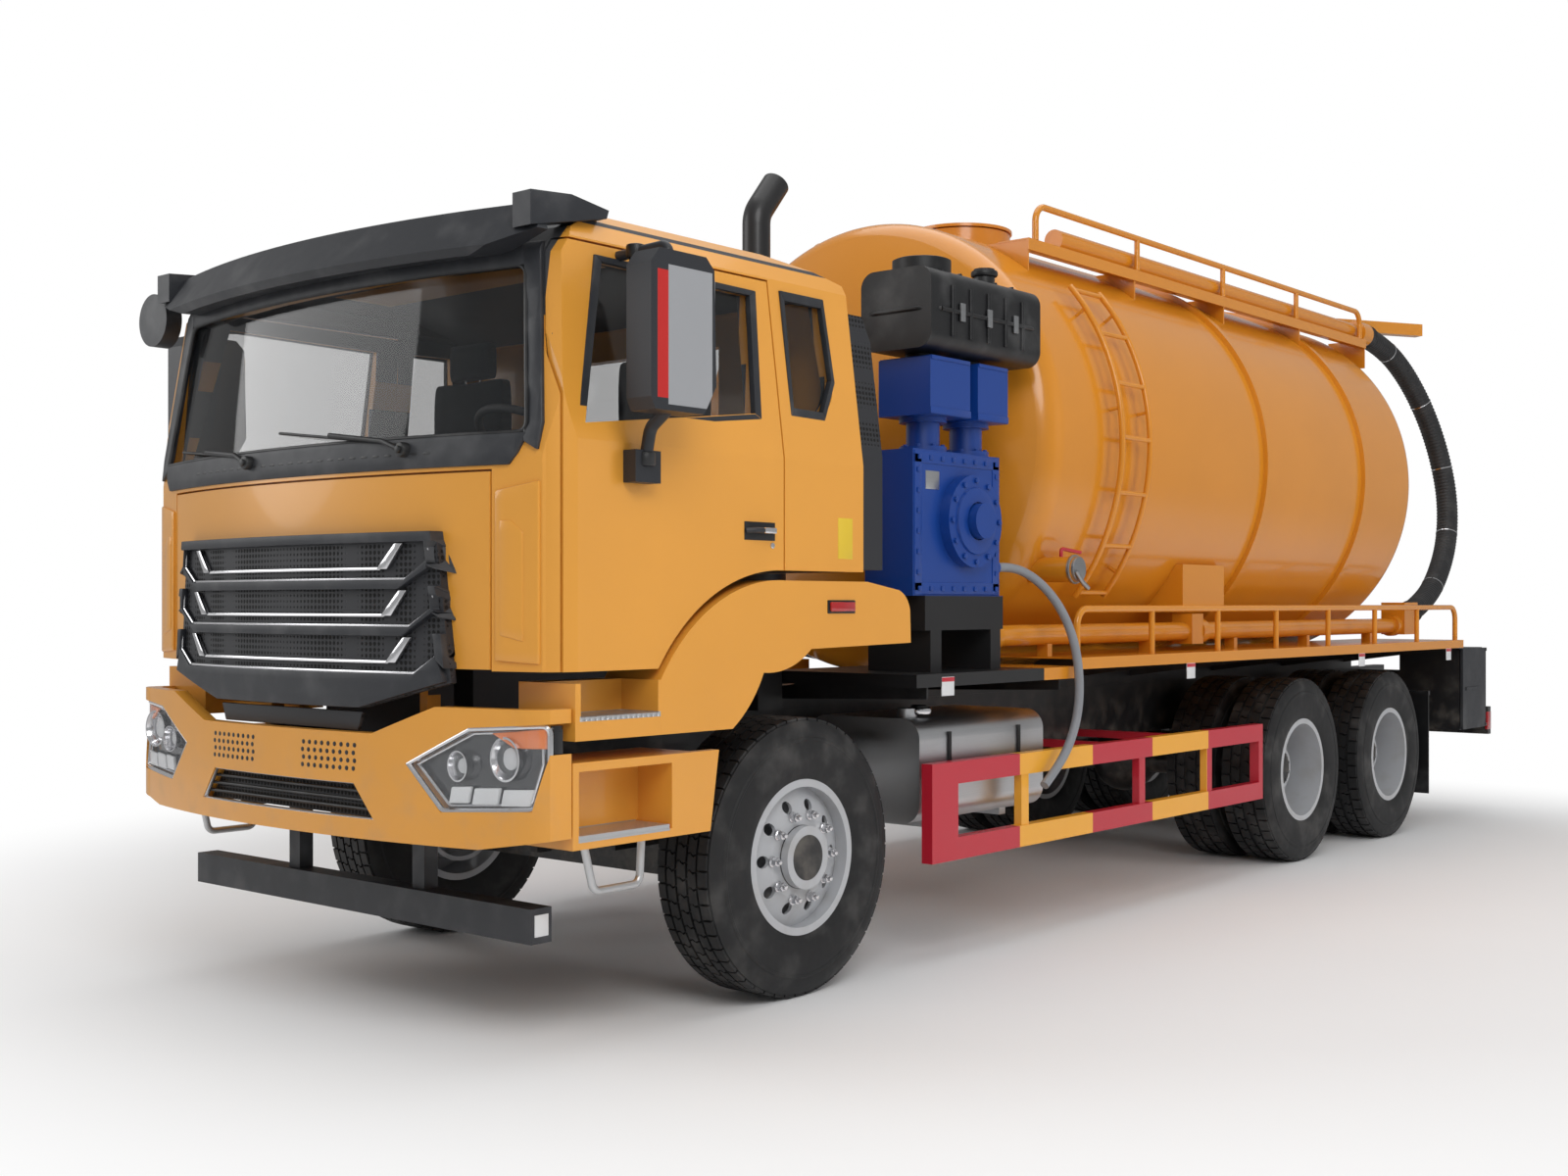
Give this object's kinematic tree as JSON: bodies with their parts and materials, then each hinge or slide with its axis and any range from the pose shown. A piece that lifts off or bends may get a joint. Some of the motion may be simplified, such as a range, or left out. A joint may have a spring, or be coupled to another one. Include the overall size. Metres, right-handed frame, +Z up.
{
  "type": "vacuum sewage truck",
  "caption": "Vacuum sewage truck: tilting cab on a three-axle chassis with a horizontal tank, vacuum pump, walkways, ladder and suction hose.",
  "frame": {"origin": "on the ground under the middle of the truck's box (hoses left out)", "axes": "+Z up, front of the truck towards -Y, driver's (left) side towards +X"},
  "size_m": [2.98, 9.4001, 3.5878],
  "materials": {
    "cab_paint": "gloss amber yellow paint",
    "tank_paint": "gloss orange yellow paint",
    "pump_paint": "semi-gloss blue paint on castings",
    "black_plastic": "moulded dark grey plastic",
    "chassis_black": "satin black paint",
    "tyre_rubber": "tread rubber",
    "rim_silver": "silver wheel paint",
    "steel": "bare steel",
    "aluminium": "brushed aluminium",
    "chrome": "bright chrome",
    "glass": "tinted window glass",
    "lamp_glass": "clear lamp glass",
    "guard_paint": "red paint with yellow bands",
    "hose_rubber": "black hose rubber",
    "hose_grey": "grey corrugated hose",
    "seat_fabric": "woven seat cloth",
    "interior_plastic": "grained interior plastic",
    "engine_iron": "dark cast iron"
  },
  "bodies": {
    "chassis": {"chassis_frame": "chassis_black", "engine_block": "engine_iron", "front_axle": "chassis_black", "rear_axles": "chassis_black", "front_bumper": "cab_paint", "headlamps": "lamp_glass", "underrun_bar": "black_plastic", "cab_steps": "cab_paint", "cab_fenders": "cab_paint", "wheel_guards": "black_plastic", "fuel_tank": "aluminium", "battery_box": "chassis_black", "side_guards": "guard_paint", "exhaust_stack": "chassis_black", "tool_boxes": "chassis_black", "rear_bumper": "guard_paint", "tank_shell": "tank_paint", "walkways": "tank_paint", "handrails": "tank_paint", "side_ladder": "tank_paint", "vacuum_pump": "pump_paint", "air_filter_box": "black_plastic", "suction_pipes": "tank_paint", "hose_arm": "tank_paint", "suction_hose": "hose_rubber", "drain_hose": "hose_grey"},
    "cab": {"cab_shell": "cab_paint", "cab_glass": "glass", "sun_visor": "black_plastic", "front_mirror": "black_plastic", "intake_louvres": "black_plastic", "dashboard": "interior_plastic", "seats": "seat_fabric"},
    "steering_wheel": {"steering_wheel": "interior_plastic"},
    "left_door": {"left_door": "cab_paint", "left_door_glass": "glass", "left_mirror": "black_plastic"},
    "right_door": {"right_door": "cab_paint", "right_door_glass": "glass", "right_mirror": "black_plastic"},
    "front_lid": {"front_lid": "cab_paint", "grille": "black_plastic"},
    "left_knuckle": {"left_knuckle": "engine_iron"},
    "right_knuckle": {"right_knuckle": "engine_iron"},
    "manhole_lid": {"manhole_lid": "tank_paint"},
    "left_box_door": {"left_box_door": "black_plastic"},
    "right_box_door": {"right_box_door": "black_plastic"},
    "front_left_wheel": {"front_left_tyre": "tyre_rubber", "front_left_rim": "rim_silver"},
    "rear1_left_wheel": {"rear1_left_tyres": "tyre_rubber", "rear1_left_rims": "rim_silver"},
    "rear2_left_wheel": {"rear2_left_tyres": "tyre_rubber", "rear2_left_rims": "rim_silver"},
    "front_right_wheel": {"front_right_tyre": "tyre_rubber", "front_right_rim": "rim_silver"},
    "rear1_right_wheel": {"rear1_right_tyres": "tyre_rubber", "rear1_right_rims": "rim_silver"},
    "rear2_right_wheel": {"rear2_right_tyres": "tyre_rubber", "rear2_right_rims": "rim_silver"}
  },
  "joints": [
    {"name": "cab_tilt", "type": "hinge", "parent": "chassis", "child": "cab", "pos_m": [0, -4.54, 0.88], "axis": [1, 0, 0], "range_deg": [0, 50]},
    {"name": "left_door_swing", "type": "hinge", "parent": "cab", "child": "left_door", "pos_m": [1.25, -4.425, 2], "axis": [0, 0, -1], "range_deg": [0, 70]},
    {"name": "right_door_swing", "type": "hinge", "parent": "cab", "child": "right_door", "pos_m": [-1.25, -4.425, 2], "axis": [0, 0, 1], "range_deg": [0, 70]},
    {"name": "front_lid_lift", "type": "hinge", "parent": "cab", "child": "front_lid", "pos_m": [0, -4.646, 1.968], "axis": [-1, 0, 0], "range_deg": [0, 70]},
    {"name": "steering_wheel_turn", "type": "hinge", "parent": "cab", "child": "steering_wheel", "pos_m": [0.6, -4, 2.12], "axis": [0, 0.5, 0.866], "range_deg": [-720, 720]},
    {"name": "left_steer", "type": "hinge", "parent": "chassis", "child": "left_knuckle", "pos_m": [0.88, -3.14, 0.5425], "axis": [0, 0, 1], "range_deg": [-38, 38]},
    {"name": "right_steer", "type": "hinge", "parent": "chassis", "child": "right_knuckle", "pos_m": [-0.88, -3.14, 0.5425], "axis": [0, 0, 1], "range_deg": [-38, 38]},
    {"name": "front_left_spin", "type": "hinge", "parent": "left_knuckle", "child": "front_left_wheel", "pos_m": [1.04, -3.14, 0.5425], "axis": [1, 0, 0], "continuous": true},
    {"name": "front_right_spin", "type": "hinge", "parent": "right_knuckle", "child": "front_right_wheel", "pos_m": [-1.04, -3.14, 0.5425], "axis": [1, 0, 0], "continuous": true},
    {"name": "rear1_left_spin", "type": "hinge", "parent": "chassis", "child": "rear1_left_wheel", "pos_m": [0.885, 1.43, 0.5425], "axis": [1, 0, 0], "continuous": true},
    {"name": "rear1_right_spin", "type": "hinge", "parent": "chassis", "child": "rear1_right_wheel", "pos_m": [-0.885, 1.43, 0.5425], "axis": [1, 0, 0], "continuous": true},
    {"name": "rear2_left_spin", "type": "hinge", "parent": "chassis", "child": "rear2_left_wheel", "pos_m": [0.885, 2.78, 0.5425], "axis": [1, 0, 0], "continuous": true},
    {"name": "rear2_right_spin", "type": "hinge", "parent": "chassis", "child": "rear2_right_wheel", "pos_m": [-0.885, 2.78, 0.5425], "axis": [1, 0, 0], "continuous": true},
    {"name": "manhole_swing", "type": "hinge", "parent": "chassis", "child": "manhole_lid", "pos_m": [0, -0.08, 3.574], "axis": [-1, 0, 0], "range_deg": [0, 100]},
    {"name": "left_box_swing", "type": "hinge", "parent": "chassis", "child": "left_box_door", "pos_m": [1.235, 4.495, 0.9], "axis": [0, 0, 1], "range_deg": [0, 95]},
    {"name": "right_box_swing", "type": "hinge", "parent": "chassis", "child": "right_box_door", "pos_m": [-1.235, 4.495, 0.9], "axis": [0, 0, -1], "range_deg": [0, 95]}
  ],
  "couplings": [
    {"joint": "right_steer", "follows": "left_steer", "ratio": 1},
    {"joint": "steering_wheel_turn", "follows": "left_steer", "ratio": 18}
  ]
}
